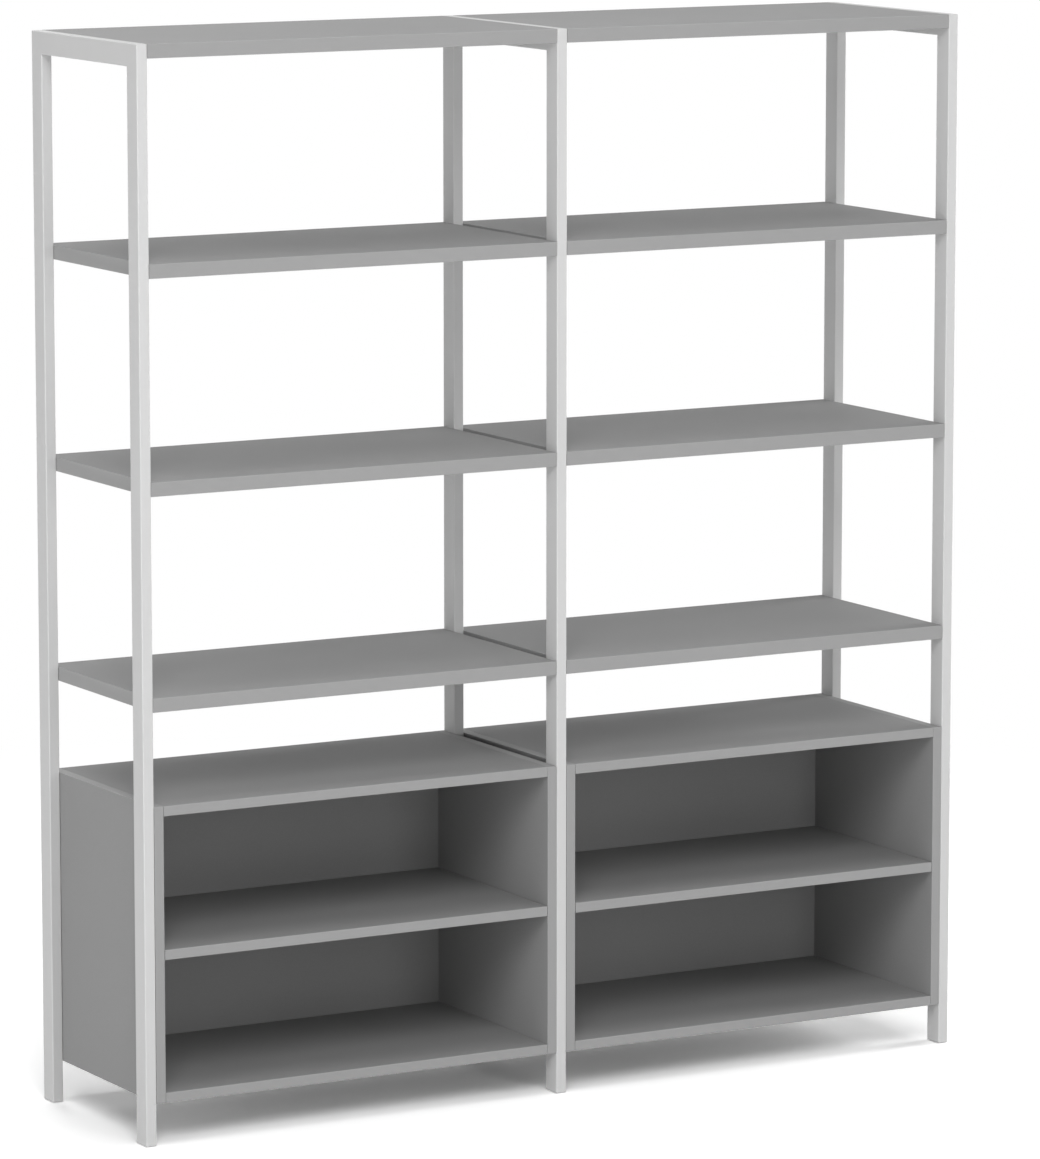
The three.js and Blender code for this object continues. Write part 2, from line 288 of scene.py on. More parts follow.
def aboutZero(tree, noise, middle, share):
    # a noise's swing about its middle, times its share
    return addMath(tree, "MULTIPLY", addMath(tree, "SUBTRACT", noise, middle), share)


def makeSurfaceGrain(values):
    # broad swell of the coat with a finer grain on top of it
    inputs = [("Vector", "Vector"), ("Scale", "Float"), ("Fine Scale", "Float"), ("Fine Share", "Float")]
    group, given, result = startGroup("surfaceGrain", inputs, [("Height", "Float")])
    broad = addNoise(group, given["Vector"], given["Scale"], values["swellDetail"])
    fine = addNoise(group, given["Vector"], given["Fine Scale"], values["grainDetail"])
    height = addMath(group, "ADD", broad, addMath(group, "MULTIPLY", fine, given["Fine Share"]))
    group.links.new(height, result["Height"])
    return group


def makeShadeDrift(values):
    # colour times one, give or take a slow drift and a fine fleck
    inputs = [("Vector", "Vector"), ("Colour", "Color"), ("Drift", "Float"), ("Drift Scale", "Float")]
    inputs += [("Fleck", "Float"), ("Fleck Scale", "Float")]
    group, given, result = startGroup("shadeDrift", inputs, [("Colour", "Color")])
    slow = addNoise(group, given["Vector"], given["Drift Scale"], values["driftDetail"])
    fine = addNoise(group, given["Vector"], given["Fleck Scale"], values["fleckDetail"])
    slow = aboutZero(group, slow, values["noiseMiddle"], given["Drift"])
    fine = aboutZero(group, fine, values["noiseMiddle"], given["Fleck"])
    level = addMath(group, "ADD", addMath(group, "ADD", slow, fine), 1.0)
    scaled = group.nodes.new("ShaderNodeVectorMath")
    scaled.operation = "SCALE"
    group.links.new(given["Colour"], scaled.inputs[0])
    group.links.new(level, scaled.inputs["Scale"])
    group.links.new(scaled.outputs["Vector"], result["Colour"])
    return group


def makeGlossDrift(values):
    # roughness, give or take where hands and cloths have passed
    inputs = [("Vector", "Vector"), ("Roughness", "Float"), ("Drift", "Float"), ("Drift Scale", "Float")]
    inputs += [("Polish", "Float")]
    group, given, result = startGroup("glossDrift", inputs, [("Roughness", "Float")])
    slow = addNoise(group, given["Vector"], given["Drift Scale"], values["glossDetail"])
    slow = aboutZero(group, slow, values["noiseMiddle"], given["Drift"])
    level = addMath(group, "SUBTRACT", addMath(group, "ADD", given["Roughness"], slow), given["Polish"])
    group.links.new(level, result["Roughness"])
    return group


def makeEdgeWearAndHighlight(values):
    # how far a rounded edge has been rubbed and how much painted highlight it gets: its arc, broken up along
    # its length
    inputs = [("Vector", "Vector"), ("Arc", "Float"), ("Amount", "Float"), ("Patch Scale", "Float")]
    group, given, result = startGroup("edgeWearAndHighlight", inputs, [("Mask", "Float")])
    patch = addNoise(group, given["Vector"], given["Patch Scale"], values["patchDetail"])
    patch = addMath(group, "MULTIPLY", patch, values["patchGain"])
    patch = addMath(group, "ADD", patch, values["patchLeast"])
    mask = addMath(group, "MULTIPLY", addMath(group, "MULTIPLY", given["Arc"], patch), given["Amount"])
    group.links.new(mask, result["Mask"])
    return group


effects = {
    "grain": makeSurfaceGrain(effectValues),
    "shade": makeShadeDrift(effectValues),
    "gloss": makeGlossDrift(effectValues),
    "wearAndHighlight": makeEdgeWearAndHighlight(effectValues),
}


def addEffect(tree, name, vector, inputs):
    node = tree.nodes.new("ShaderNodeGroup")
    node.node_tree = effects[name]
    tree.links.new(vector, node.inputs["Vector"])
    for socket, value in inputs.items():
        node.inputs[socket].default_value = value
    return node


# Finishes

finishes = {
    "powderCoat": {
        "colour": (0.528, 0.528, 0.528), "metallic": 0.0, "roughness": 0.54, "specular": 0.35,
        "drift": 0.05, "driftScale": 2.2, "fleck": 0.05, "fleckScale": 900.0,
        "glossDrift": 0.12, "glossScale": 5.0,
        "grainScale": 520.0, "fineScale": 1900.0, "fineShare": 0.25,
        "grainDepth": 0.00014, "grainStrength": 0.4,
        # lighter colour on the rounded edges: partly rubbed wear, partly a painted highlight
        "wearAndHighlight": 0.4, "wearAndHighlightColour": (0.65, 0.65, 0.65), "wearAndHighlightScale": 18.0,
    },
    "boardFace": {
        "colour": (0.265, 0.265, 0.265), "metallic": 0.0, "roughness": 0.72, "specular": 0.2,
        "drift": 0.08, "driftScale": 1.8, "fleck": 0.34, "fleckScale": 1400.0,
        "glossDrift": 0.14, "glossScale": 4.0,
        "grainScale": 1100.0, "fineScale": 3600.0, "fineShare": 0.5,
        "grainDepth": 0.00018, "grainStrength": 0.65,
    },
    "edgeBand": {
        "colour": (0.292, 0.292, 0.292), "metallic": 0.0, "roughness": 0.66, "specular": 0.18,
        "drift": 0.05, "driftScale": 3.0, "fleck": 0.05, "fleckScale": 1700.0,
        "glossDrift": 0.14, "glossScale": 7.0,
        "grainScale": 900.0, "fineScale": 3600.0, "fineShare": 0.4,
        "grainDepth": 0.00012, "grainStrength": 0.6,
        # lighter colour on the rounded edges: partly rubbed wear, partly a painted highlight
        "wearAndHighlight": 0.5, "wearAndHighlightColour": (0.37, 0.37, 0.37), "wearAndHighlightScale": 14.0,
    },
    "platedSteel": {
        "colour": (0.56, 0.57, 0.58), "metallic": 1.0, "roughness": 0.3, "specular": 0.5,
        "drift": 0.12, "driftScale": 90.0, "fleck": 0.1, "fleckScale": 2500.0,
        "glossDrift": 0.2, "glossScale": 160.0,
        "grainScale": 1500.0, "fineScale": 6000.0, "fineShare": 0.5,
        "grainDepth": 0.00001, "grainStrength": 0.3,
    },
    "blackNylon": {
        "colour": (0.02, 0.02, 0.021), "metallic": 0.0, "roughness": 0.5, "specular": 0.5,
        "drift": 0.2, "driftScale": 60.0, "fleck": 0.2, "fleckScale": 2200.0,
        "glossDrift": 0.16, "glossScale": 110.0,
        "grainScale": 1400.0, "fineScale": 5000.0, "fineShare": 0.5,
        "grainDepth": 0.00003, "grainStrength": 0.4,
    },
}


def makeFinish(name, values):
    material = bpy.data.materials.new(name)
    material.use_nodes = True
    tree = material.node_tree
    nodes, links = startNodes(tree)
    even = {"Metallic": values["metallic"], "Specular IOR Level": values["specular"]}
    shader = addNode(tree, "ShaderNodeBsdfPrincipled", even)
    out = nodes.new("ShaderNodeOutputMaterial")
    links.new(shader.outputs["BSDF"], out.inputs["Surface"])
    place = nodes.new("ShaderNodeTexCoord").outputs["Object"]

    shade = addEffect(tree, "shade", place, {
        "Colour": (*values["colour"], 1.0),
        "Drift": values["drift"],
        "Drift Scale": values["driftScale"],
        "Fleck": values["fleck"],
        "Fleck Scale": values["fleckScale"],
    })
    gloss = addEffect(tree, "gloss", place, {
        "Roughness": values["roughness"],
        "Drift": values["glossDrift"],
        "Drift Scale": values["glossScale"],
    })
    links.new(gloss.outputs["Roughness"], shader.inputs["Roughness"])
    colour = shade.outputs["Colour"]
    if "wearAndHighlight" in values:
        arc = nodes.new("ShaderNodeAttribute")
        arc.attribute_name = "arris"
        wearAndHighlight = addEffect(tree, "wearAndHighlight", place, {"Amount": values["wearAndHighlight"], "Patch Scale": values["wearAndHighlightScale"]})
        links.new(arc.outputs["Fac"], wearAndHighlight.inputs["Arc"])
        # the mask lightens the colour on rounded edges: partly rubbed wear, partly a painted highlight
        tone = nodes.new("ShaderNodeMix")
        tone.data_type = "RGBA"
        tone.inputs["B"].default_value = (*values["wearAndHighlightColour"], 1.0)
        links.new(wearAndHighlight.outputs["Mask"], tone.inputs["Factor"])
        links.new(colour, tone.inputs["A"])
        colour = tone.outputs["Result"]
        polish = addMath(tree, "MULTIPLY", wearAndHighlight.outputs["Mask"], effectValues["wornPolish"])
        links.new(polish, gloss.inputs["Polish"])
    links.new(colour, shader.inputs["Base Color"])

    grain = addEffect(tree, "grain", place, {
        "Scale": values["grainScale"],
        "Fine Scale": values["fineScale"],
        "Fine Share": values["fineShare"],
    })
    bump = {"Strength": values["grainStrength"], "Distance": values["grainDepth"]}
    relief = addNode(tree, "ShaderNodeBump", bump)
    links.new(grain.outputs["Height"], relief.inputs["Height"])
    links.new(relief.outputs["Normal"], shader.inputs["Normal"])
    return material


finish = {name: makeFinish(name, values) for name, values in finishes.items()}
print("finishes mixed:", len(finish))

# Surfaces

millimetre = 0.001
edgeAngle = 32.0  # degrees, past which an edge of turned or cut metal shows as an edge
arcMiddle = 0.3  # share of an edge's break that is left at the middle of its rounding
bayMiddles = (-410.0, 410.0)  # mm from the middle of the unit
boardHalf = 399.7  # mm, half the length of a board between two frames


def roundedOutline(corners, radius, steps):
    # each square corner of a closed outline becomes an arc that touches both its sides; a point is the
    # arc's middle plus its signed radius times the outward direction, so taking d off the radius draws
    # the whole outline in by d
    corners = np.asarray(corners, float)
    arrive = corners - np.roll(corners, 1, axis=0)
    leave = np.roll(corners, -1, axis=0) - corners
    arrive /= np.linalg.norm(arrive, axis=1, keepdims=True)
    leave /= np.linalg.norm(leave, axis=1, keepdims=True)
    hand = np.sign(arrive[:, 0] * leave[:, 1] - arrive[:, 1] * leave[:, 0])  # 1 outside, -1 inside corner
    turn = np.linspace(0.0, np.pi / 2, steps + 1)
    first = np.stack([arrive[:, 1], -arrive[:, 0]], axis=1)
    last = np.stack([leave[:, 1], -leave[:, 0]], axis=1)
    outward = np.cos(turn)[:, None] * first[:, None] + np.sin(turn)[:, None] * last[:, None]
    middle = np.repeat((corners + radius * (leave - arrive))[:, None], steps + 1, axis=1)
    reach = np.repeat(radius * hand[:, None], steps + 1, axis=1)
    arc = np.tile(np.sin(2 * turn), (len(corners), 1))
    return {
        "middle": middle.reshape(-1, 2),
        "outward": outward.reshape(-1, 2),
        "reach": reach.reshape(-1),
        "arc": arc.reshape(-1),
    }


def rectangle(lowU, lowV, highU, highV):
    return [(lowU, lowV), (highU, lowV), (highU, highV), (lowU, highV)]


def drawnIn(outline, inset):
    inset = np.asarray(inset, float)[..., None]
    return outline["middle"] + (outline["reach"] - inset)[..., None] * outline["outward"]


def setAlong(flat, place, axis):
    # a plane's two coordinates and the place along the axis, put in x, y, z order
    place = np.broadcast_to(place, flat.shape[:-1])
    return np.roll(np.concatenate([flat, place[..., None]], axis=-1), axis + 1, axis=-1)


def ringQuads(ringCount, pointCount, closed):
    # four corners between neighbouring rings and neighbouring points
    ring = np.arange(ringCount if closed else ringCount - 1)[:, None]
    point = np.arange(pointCount)
    nextRing = (ring + 1) % ringCount
    nextPoint = (point + 1) % pointCount
    first, second = ring * pointCount, nextRing * pointCount
    return np.stack([first + point, first + nextPoint, second + nextPoint, second + point], axis=-1)


def capFaces(ringCount, pointCount):
    start = list(range(pointCount - 1, -1, -1))
    end = list(range((ringCount - 1) * pointCount, ringCount * pointCount))
    return [start, end]


def makeMesh(name, verts, faces, materials):
    mesh = bpy.data.meshes.new(name)
    mesh.from_pydata((verts * millimetre).tolist(), [], faces)
    for material in materials:
        mesh.materials.append(finish[material])
    mesh.polygons.foreach_set("use_smooth", np.ones(len(faces), bool))
    return mesh


def paintArcs(mesh, arcs):
    mesh.attributes.new("arris", "FLOAT", "POINT").data.foreach_set("value", np.asarray(arcs, np.float32))


def setNormals(mesh, normals):
    normals = normals / np.linalg.norm(normals, axis=-1, keepdims=True)
    mesh.normals_split_custom_set_from_vertices(normals.tolist())


def cappedShell(rings):
    # rings in order along an axis, with a flat face over the first and the last
    count, points = rings.shape[:2]
    faces = ringQuads(count, points, False).reshape(-1, 4).tolist() + capFaces(count, points)
    return rings.reshape(-1, 3), faces


def joinShells(shells):
    starts = np.cumsum([0] + [len(verts) for verts, faces in shells])
    verts = np.vstack([verts for verts, faces in shells])
    faces = [[start + spot for spot in face] for start, shell in zip(starts, shells) for face in shell[1]]
    return verts, faces


def shellMesh(name, shell, material):
    verts, faces = shell
    mesh = makeMesh(name, verts, faces, [material])
    mesh.set_sharp_from_angle(angle=math.radians(edgeAngle))
    return mesh


def turnedAlongX(stations, sides, origin, side):
    # a circle of each station's radius, set out from the origin along X
    place, radius = np.array(stations, float).T
    turn = 2 * np.pi * (np.arange(sides) + 0.5) / sides
    flat = radius[:, None, None] * np.stack([np.cos(turn), np.sin(turn)], axis=-1)
    rings = setAlong(flat, side * place[:, None], 0) + origin
    return rings if side > 0 else rings[:, ::-1]


def cutAway(mesh, shell):
    # takes a closed shell out of a mesh
    piece = bpy.data.objects.new("beforeCut", mesh)
    tool = bpy.data.meshes.new("cutter")
    tool.from_pydata((shell[0] * millimetre).tolist(), [], shell[1])
    cutter = bpy.data.objects.new("cutter", tool)
    for thing in (piece, cutter):
        bpy.context.scene.collection.objects.link(thing)
    cut = piece.modifiers.new("cut", "BOOLEAN")
    cut.operation = "DIFFERENCE"
    cut.solver = "EXACT"
    cut.object = cutter
    shaped = bpy.data.meshes.new_from_object(piece.evaluated_get(bpy.context.evaluated_depsgraph_get()))
    shaped.polygons.foreach_set("use_smooth", np.ones(len(shaped.polygons), bool))
    shaped.set_sharp_from_angle(angle=math.radians(edgeAngle))
    for thing in (piece, cutter):
        data = thing.data
        bpy.data.objects.remove(thing)
        bpy.data.meshes.remove(data)
    return shaped


def shadeByArea(piece):
    # flat faces keep their own direction, and the arcs between them carry the turn
    even = piece.modifiers.new("evenShading", "WEIGHTED_NORMAL")
    even.keep_sharp = True


def standIn(mesh, node, suffix):
    # the finished piece takes a node's place and body
    piece = bpy.data.objects.new(node + suffix, mesh)
    bpy.context.scene.collection.objects.link(piece)
    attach(piece, bodyOf[node])
    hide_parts(node)
    return piece


def addOn(mesh, node, suffix):
    # a small piece that goes with a node without hiding it
    piece = bpy.data.objects.new(node + suffix, mesh)
    bpy.context.scene.collection.objects.link(piece)
    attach(piece, bodyOf[node])
    return piece


def nodeBox(node):
    low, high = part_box(node)
    return np.array(low) / millimetre, np.array(high) / millimetre


# Boards

boardEdges = {
    "radius": 1.0,  # mm, long edges
    "endRadius": 0.6,  # mm, where the two ends are trimmed
    "steps": 5,  # facets in each arc
    "squareSum": 1.999,  # two unit directions that both follow an axis add up to more than this along it
}


def carriedBoard(corners, axis, low, high, edges):
    # a rounded outline carried along the axis, drawn in over a quarter round at each end
    outline = roundedOutline(corners, edges["radius"], edges["steps"])
    quarter = np.linspace(0.0, np.pi / 2, edges["steps"] + 1)
    trim = edges["endRadius"]
    lean = np.concatenate([-quarter[::-1], quarter])
    inset = trim * (1.0 - np.cos(lean))
    start = low + trim * (1.0 - np.sin(quarter[::-1]))
    end = high - trim * (1.0 - np.sin(quarter))
    place = np.concatenate([start, end])
    verts = setAlong(drawnIn(outline, inset), place[:, None], axis)
    flatNormal = np.cos(lean)[:, None, None] * outline["outward"]
    normals = setAlong(flatNormal, np.sin(lean)[:, None], axis)
    arcs = np.maximum(np.abs(np.sin(2 * lean))[:, None], outline["arc"])
    return verts, normals, arcs, outline


def bandedBoard(node, corners, axis, low, high, faceAxis, rebate=None):
    # broad faces in one finish, the edge strips that wrap round onto them in another
    verts, normals, arcs, outline = carriedBoard(corners, axis, low, high, boardEdges)
    rings, points = verts.shape[:2]
    quads = ringQuads(rings, points, False)
    ahead = np.roll(outline["outward"], -1, axis=0)
    squareOn = np.abs(outline["outward"] + ahead)[:, faceAxis] > boardEdges["squareSum"]
    runs = np.zeros((rings - 1, points), bool)
    runs[boardEdges["steps"]] = squareOn
    faces = quads.reshape(-1, 4).tolist() + capFaces(rings, points)
    mesh = makeMesh(node, verts.reshape(-1, 3), faces, ["boardFace", "edgeBand"])
    band = np.concatenate([np.where(runs.reshape(-1), 0, 1), [1, 1]]).astype(np.int32)
    mesh.polygons.foreach_set("material_index", band)
    paintArcs(mesh, arcs.reshape(-1))
    if rebate is None:
        setNormals(mesh, normals.reshape(-1, 3))
        standIn(mesh, node, "_board")
    else:
        shadeByArea(standIn(cutAway(mesh, rebate), node, "_board"))


boxJoints = {
    "sideThickness": 18.0,
    "backLap": 9.0,  # mm of back panel let into the boards round it
    "backSeat": 11.3,  # mm from the rear edges to the floor of that rebate
    "jointGap": 0.4,  # mm between a panel's end and the side
    "overrun": 1.0,  # mm that the cutter passes the edges
}


def makeOpenShelves():
    for bay, middle in zip(bayNames, bayMiddles):
        for level in levelNames:
            node = f"{bay}_bay_{level}_shelf"
            low, high = nodeBox(node)
            corners = rectangle(low[1], low[2], high[1], high[2])
            bandedBoard(node, corners, 0, middle - boardHalf, middle + boardHalf, 1)


def makeBoxes(joints):
    outer = boardHalf
    inner = outer - joints["sideThickness"]
    lapped = inner + joints["backLap"]
    for bay, middle in zip(bayNames, bayMiddles):
        for hand, side in (("left", -1), ("right", 1)):
            node = f"{bay}_box_{hand}_side"
            low, high = nodeBox(node)
            seat = high[1] - joints["backSeat"]
            # the rebate for the back panel stops short of the top and the underside
            left, right = sorted((middle + side * lapped, middle + side * (inner - joints["overrun"])))
            pocket = np.array(rectangle(left, seat, right, high[1] + joints["overrun"]))
            stop = joints["sideThickness"] - joints["backLap"]
            reach = np.array([[low[2] + stop], [high[2] - stop]])
            rebate = cappedShell(setAlong(np.stack([pocket, pocket]), reach, 2))
            left, right = sorted((middle + side * outer, middle + side * inner))
            bandedBoard(node, rectangle(left, low[1], right, high[1]), 2, low[2], high[2], 0, rebate)
        for name, up in (("bottom_panel", -1), ("top_panel", 1)):
            node = f"{bay}_box_{name}"
            low, high = nodeBox(node)
            seat = high[1] - joints["backSeat"]
            outside, inside = (high[2], low[2]) if up > 0 else (low[2], high[2])
            lapHeight = inside + up * joints["backLap"]
            across = [(low[1], inside), (seat, inside), (seat, lapHeight), (high[1], lapHeight)]
            across += [(high[1], outside), (low[1], outside)]
            across = across if up > 0 else across[::-1]
            reach = inner - joints["jointGap"]
            bandedBoard(node, across, 0, middle - reach, middle + reach, 1)
        node = f"{bay}_box_back_panel"
        low, high = nodeBox(node)
        bandedBoard(node, rectangle(low[0], low[1], high[0], high[1]), 2, low[2], high[2], 1)
        node = f"{bay}_box_inner_shelf"
        low, high = nodeBox(node)
        bandedBoard(node, rectangle(low[1], low[2], high[1], high[2]), 0, low[0], high[0], 1)


makeOpenShelves()
makeBoxes(boxJoints)
print("boards cut and banded")

# Tube frames

tubeStock = {
    "width": 20.0,
    "depth": 40.0,
    "wall": 1.5,
    "cornerRadius": 2.0,
    "boreRadius": 0.5,
    "steps": 6,
    "edgeBreak": 0.25,  # mm taken off the sawn lower ends
}
keyhole = {
    "slotRadius": 2.8,
    "entryRadius": 4.8,
    "drop": 9.0,  # mm from the round entry down to the seat
    "seatRise": 7.0,  # mm from the underside of an open shelf up to its studs
    "overrun": 0.3,
    "steps": 10,
}
studPlaces = {
    "railInset": 90.0,  # mm in from the front and rear edges of a top shelf
    "boxInset": 60.0,  # mm in from the top and underside of a box
}
unitDepth = (cadHigh[1] - cadLow[1]) / millimetre
postOffset = unitDepth / 2 - tubeStock["depth"] / 2
railOffset = unitDepth / 2 - studPlaces["railInset"]


def tubeOutlines(values, swap):
    halfU, halfV = values["width"] / 2, values["depth"] / 2
    if swap:
        halfU, halfV = halfV, halfU
    wall = values["wall"]
    outer = rectangle(-halfU, -halfV, halfU, halfV)
    inner = rectangle(wall - halfU, wall - halfV, halfU - wall, halfV - wall)
    outside = roundedOutline(outer, values["cornerRadius"], values["steps"])
    inside = roundedOutline(inner, values["boreRadius"], values["steps"])
    return outside, inside


def wallMesh(name, rings, arcs):
    # rings run up the outside and down the bore, so the wall closes on itself
    faces = ringQuads(rings.shape[0], rings.shape[1], True).reshape(-1, 4).tolist()
    mesh = makeMesh(name, rings.reshape(-1, 3), faces, ["powderCoat"])
    paintArcs(mesh, arcs.reshape(-1))
    return mesh


def postMesh(node, outward, values):
    # outline carried up Z; the top is cut at 45 degrees, lowest on the side away from outward
    low, high = nodeBox(node)
    middle = (low[:2] + high[:2]) / 2
    outside, inside = tubeOutlines(values, False)
    snap = values["edgeBreak"]
    layers = [(outside, 0.0)] * 2 + [(inside, 0.0)] * 2 + [(inside, -snap), (outside, snap)]
    flat = np.stack([drawnIn(outline, inset) for outline, inset in layers])
    mitre = high[2] - (values["depth"] / 2 - outward * flat[..., 1])
    foot = np.full(mitre.shape[1], low[2])
    place = np.stack([foot + snap, mitre[1], mitre[2], foot + snap, foot, foot])
    rings = setAlong(flat + middle, place, 2)
    arcs = np.stack([outline["arc"] * (outline is outside) for outline, inset in layers])
    return wallMesh(node, rings, arcs)


def railMesh(node, values):
    # outline carried along Y; both ends are cut at 45 degrees, shortest underneath
    low, high = nodeBox(node)
    middle = (low + high) / 2
    outside, inside = tubeOutlines(values, True)
    layers = (outside, outside, inside, inside)
    flat = np.stack([drawnIn(outline, 0.0) for outline in layers])
    setBack = values["depth"] / 2 - flat[..., 0]
    half = unitDepth / 2
    place = np.stack([setBack[0] - half, half - setBack[1], half - setBack[2], setBack[3] - half])
    rings = setAlong(flat + np.array([middle[2], middle[0]]), place, 1)
    arcs = np.stack([outline["arc"] * (outline is outside) for outline in layers])
    return wallMesh(node, rings, arcs)


def keyholeOutline(values):
    # the lower half of a small circle, then most of a larger one above it
    small, large = values["slotRadius"], values["entryRadius"]
    lean = np.arcsin(small / large) - np.pi / 2
    under = np.linspace(np.pi, 2 * np.pi, values["steps"] + 1)
    over = np.linspace(lean, np.pi - lean, 2 * values["steps"] + 1)
    slot = small * np.stack([np.cos(under), np.sin(under)], axis=1)
    entry = large * np.stack([np.cos(over), np.sin(over)], axis=1) + np.array([0.0, values["drop"]])
    return np.vstack([slot, entry])


def keyholeCutter(middle, side, seats):
    # the keyhole's outline carried through one wall of a tube, once for each seat (y, z)
    outline = keyholeOutline(keyhole)
    reach = tubeStock["wall"] + keyhole["overrun"]
    outer = middle + side * (tubeStock["width"] / 2 + keyhole["overrun"])
    inner = middle + side * (tubeStock["width"] / 2 - reach)
    first, last = min(outer, inner), max(outer, inner)
    shells = []
    for seat in seats:
        ends = np.stack([outline + np.array(seat)] * 2)
        shells.append(cappedShell(setAlong(ends, np.array([[first], [last]]), 0)))
    return shells


def shelfSeat(bay, level):
    low = nodeBox(f"{bay}_bay_{level}_shelf")[0]
    return low[2] + keyhole["seatRise"]


def boxSeats(bay):
    low, high = nodeBox(f"{bay}_box_left_side")
    return [low[2] + studPlaces["boxInset"], high[2] - studPlaces["boxInset"]]


def pierceTube(mesh, node, sides, seats):
    low, high = nodeBox(node)
    middle = (low[0] + high[0]) / 2
    shells = [shell for side in sides for shell in keyholeCutter(middle, side, seats)]
    shadeByArea(standIn(cutAway(mesh, joinShells(shells)), node, "_tube"))


def makeFrames():
    heights = boxSeats("left") + [shelfSeat("left", level) for level in levelNames[:-1]]
    for name in frameNames:
        sides = [side for side, bare in ((-1, "left"), (1, "right")) if name != bare]
        for endName, outward in zip(endNames, (-1, 1)):
            node = f"{name}_frame_{endName}_post"
            seats = [(outward * postOffset, height) for height in heights]
            pierceTube(postMesh(node, outward, tubeStock), node, sides, seats)
        node = f"{name}_frame_top_rail"
        seats = [(y, shelfSeat("left", "top")) for y in (-railOffset, railOffset)]
        pierceTube(railMesh(node, tubeStock), node, sides, seats)


makeFrames()
print("frames welded and pierced")

# Shoulder studs in the ends of the shelves and the sides of the boxes

shoulderStud = {
    "shank": 2.5,
    "shoulder": 2.1,  # mm of shank outside the board
    "head": 4.5,
    "headThickness": 2.5,
    "edge": 0.4,
    "rooted": 2.0,  # mm inside the board
    "sides": 24,
}


def studStations(values):
    # places along the axis, each with its radius: a shank, then a wider head with its edges broken
    shank, head, edge = values["shank"], values["head"], values["edge"]
    shoulder = values["shoulder"]
    top = shoulder + values["headThickness"]
    part = edge * arcMiddle
    stations = [(-values["rooted"], shank), (shoulder, shank)]
    stations += [(shoulder, head - edge), (shoulder + edge, head)]
    return stations + [(top - edge, head), (top - part, head - part), (top, head - edge)]


def makeStuds(node, ends, seats):
    # one turned stud on each end of the board (side, x) at each seat (y, z)
    stations = studStations(shoulderStud)
    shells = []
    for side, x in ends:
        for y, z in seats:
            rings = turnedAlongX(stations, shoulderStud["sides"], np.array([x, y, z]), side)
            shells.append(cappedShell(rings))
    mesh = shellMesh(node + "_studs", joinShells(shells), "platedSteel")
    addOn(mesh, node, "_studs")


def makeAllStuds():
    for bay, middle in zip(bayNames, bayMiddles):
        ends = [(-1, middle - boardHalf), (1, middle + boardHalf)]
        for level in levelNames:
            offset = railOffset if level == "top" else postOffset
            seats = [(y, shelfSeat(bay, level)) for y in (-offset, offset)]
            makeStuds(f"{bay}_bay_{level}_shelf", ends, seats)
        for hand, end in zip(("left", "right"), ends):
            seats = [(y, z) for y in (-postOffset, postOffset) for z in boxSeats(bay)]
            makeStuds(f"{bay}_box_{hand}_side", [end], seats)


makeAllStuds()
print("studs set")

# Shelf pins

shelfPin = {
    "shank": 2.5,
    "reach": 10.0,  # mm in the side's bore
    "stand": 0.3,  # mm from the side's face to the head
    "head": 4.5,
    "headLength": 9.0,
    "seatRise": 3.0,  # mm from the axis up to the flat that carries the shelf
    "edge": 0.5,
    "sides": 40,
}


def pinRings(values, origin, side):
    # circles along X; the head's are cut off flat on top
    shank, head, edge = values["shank"], values["head"], values["edge"]
    stand = values["stand"]
    tip = stand + values["headLength"]
    part = edge * arcMiddle
    stations = [(-values["reach"], shank - edge), (edge - values["reach"], shank), (stand, shank)]
    stations += [(stand, head - edge), (stand + part, head - part), (stand + edge, head)]
    stations += [(tip - edge, head), (tip - part, head - part), (tip, head - edge)]
    rings = turnedAlongX(stations, values["sides"], np.zeros(3), side)
    radius = np.array([station[1] for station in stations])
    flat = np.where(radius > shank, values["seatRise"] - (head - radius), head)
    rings[..., 2] = np.minimum(rings[..., 2], flat[:, None])
    return rings + origin


def makePins(values):
    for bay in bayNames:
        for hand, side in (("left", 1), ("right", -1)):
            for endName in endNames:
                node = f"{bay}_box_{hand}_{endName}_pin"
                low, high = nodeBox(node)
                face = (low[0] + values["reach"]) if side > 0 else (high[0] - values["reach"])
                axis = np.array([face, (low[1] + high[1]) / 2, high[2] - values["seatRise"]])
                mesh = shellMesh(node, cappedShell(pinRings(values, axis, side)), "platedSteel")
                standIn(mesh, node, "_turned")


makePins(shelfPin)
print("shelf pins set")

# Levelling feet and the plugs that hold them

levellingFoot = {
    "pad": 8.2,
    "padThickness": 5.0,
    "padChamfer": 1.0,
    "padEdge": 0.4,
    "stud": 4.0,
    "studLength": 32.0,
    "tipChamfer": 1.0,
    "neck": 1.5,  # mm of plain core under the thread
    "pitch": 1.25,
    "threadDepth": 0.72,
    "ridgeGain": 1.45,  # steepens the thread's flanks
    "rootWidth": 0.25,  # and flattens its root
    "tipTaper": 0.3,  # mm off the core at the tip
    "sides": 36,
    "stepsPerTurn": 10,
    "slotWidth": 2.0,
    "slotDepth": 1.5,
    "slotOverrun": 1.0,
    "slotRadius": 0.2,
    "slotSteps": 3,
}
footPlug = {
    "width": 16.4,
    "depth": 36.4,
    "length": 25.0,
    "finDepth": 1.2,
    "finThickness": 3.0,
    "finTaper": 0.5,
    "finFlat": 0.6,  # share of a fin's thickness below its taper
    "finCount": 3,
    "cornerRadius": 2.0,
    "hole": 4.3,
    "steps": 9,
}


